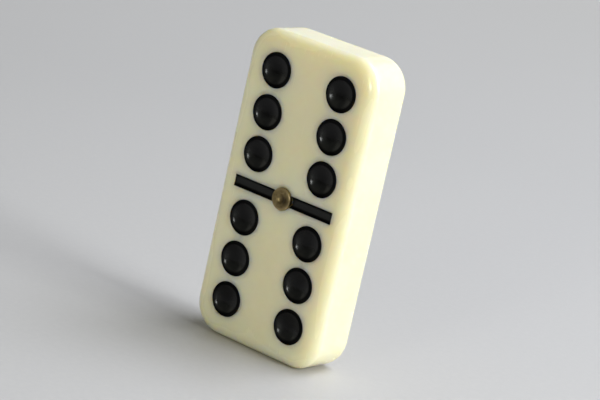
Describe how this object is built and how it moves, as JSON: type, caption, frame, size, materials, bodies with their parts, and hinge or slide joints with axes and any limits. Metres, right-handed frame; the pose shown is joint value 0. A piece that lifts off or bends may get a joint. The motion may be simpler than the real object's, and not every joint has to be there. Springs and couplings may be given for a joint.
{
  "type": "domino tile",
  "caption": "Thick rectangular domino tile with rounded corners, recessed black round pips, a black divider bar and a brass pin at its centre.",
  "frame": {"origin": "centre of the bottom short end, at half the tile's thickness", "axes": "+Z along the tile's long axis, +Y out of the plain back face, -Y out of the pip face, +X to the right of someone looking at the pip face"},
  "size_m": [0.0254, 0.0099, 0.0508],
  "materials": {
    "ivory_plastic": "polished ivory plastic with a soft gloss",
    "black_enamel": "gloss black enamel",
    "pin_brass": "dull, slightly tarnished brass"
  },
  "bodies": {
    "root": {"tile_body": "ivory_plastic", "spinner": "pin_brass", "pip_upper_left_1": "black_enamel", "pip_upper_left_2": "black_enamel", "pip_upper_left_3": "black_enamel", "pip_upper_right_1": "black_enamel", "pip_upper_right_2": "black_enamel", "pip_upper_right_3": "black_enamel", "pip_lower_left_1": "black_enamel", "pip_lower_left_2": "black_enamel", "pip_lower_left_3": "black_enamel", "pip_lower_right_1": "black_enamel", "pip_lower_right_2": "black_enamel", "pip_lower_right_3": "black_enamel", "divider_left": "black_enamel", "divider_right": "black_enamel"}
  },
  "joints": []
}
